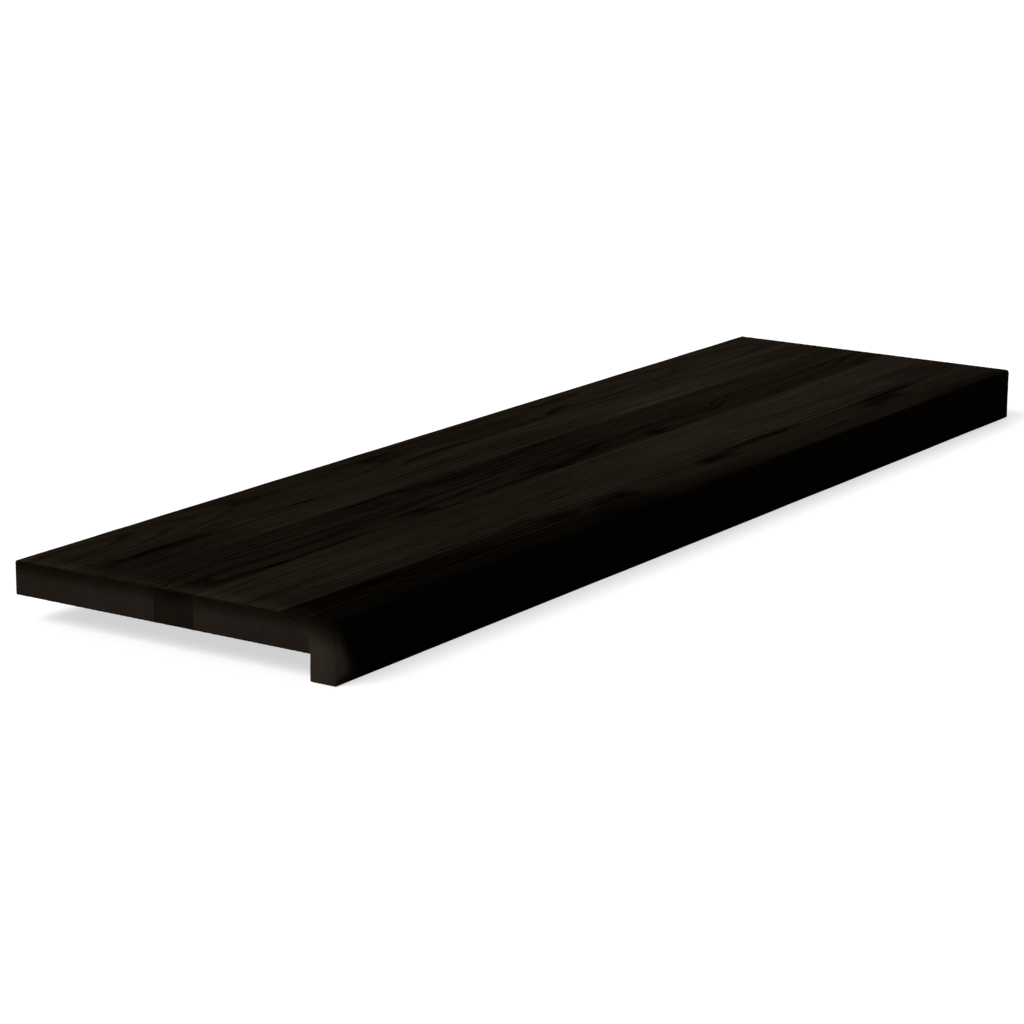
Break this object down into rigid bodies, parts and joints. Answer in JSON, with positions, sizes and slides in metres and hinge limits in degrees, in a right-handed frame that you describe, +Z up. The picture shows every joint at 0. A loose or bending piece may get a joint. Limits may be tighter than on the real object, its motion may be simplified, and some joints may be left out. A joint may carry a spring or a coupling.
{
  "type": "stair tread",
  "caption": "Long rectangular wooden stair tread glued up from full-length staves, with a deeper nosing strip along its front edge.",
  "frame": {"origin": "middle of the tread's length and depth, level with the underside of the nosing strip", "axes": "+X along the tread's length, -Y out of the nosing's front face, +Z up out of the walking surface"},
  "size_m": [1.1, 0.3, 0.0475],
  "materials": {
    "board_oak": "near-black stain on open-pored oak, matt oil",
    "nosing_oak": "near-black stain on open-pored oak, matt oil"
  },
  "bodies": {
    "root": {"stave_1_back": "board_oak", "stave_2": "board_oak", "stave_3": "board_oak", "stave_4": "board_oak", "stave_5": "board_oak", "stave_6": "board_oak", "stave_7_front": "board_oak", "nosing_strip": "nosing_oak"}
  },
  "joints": []
}
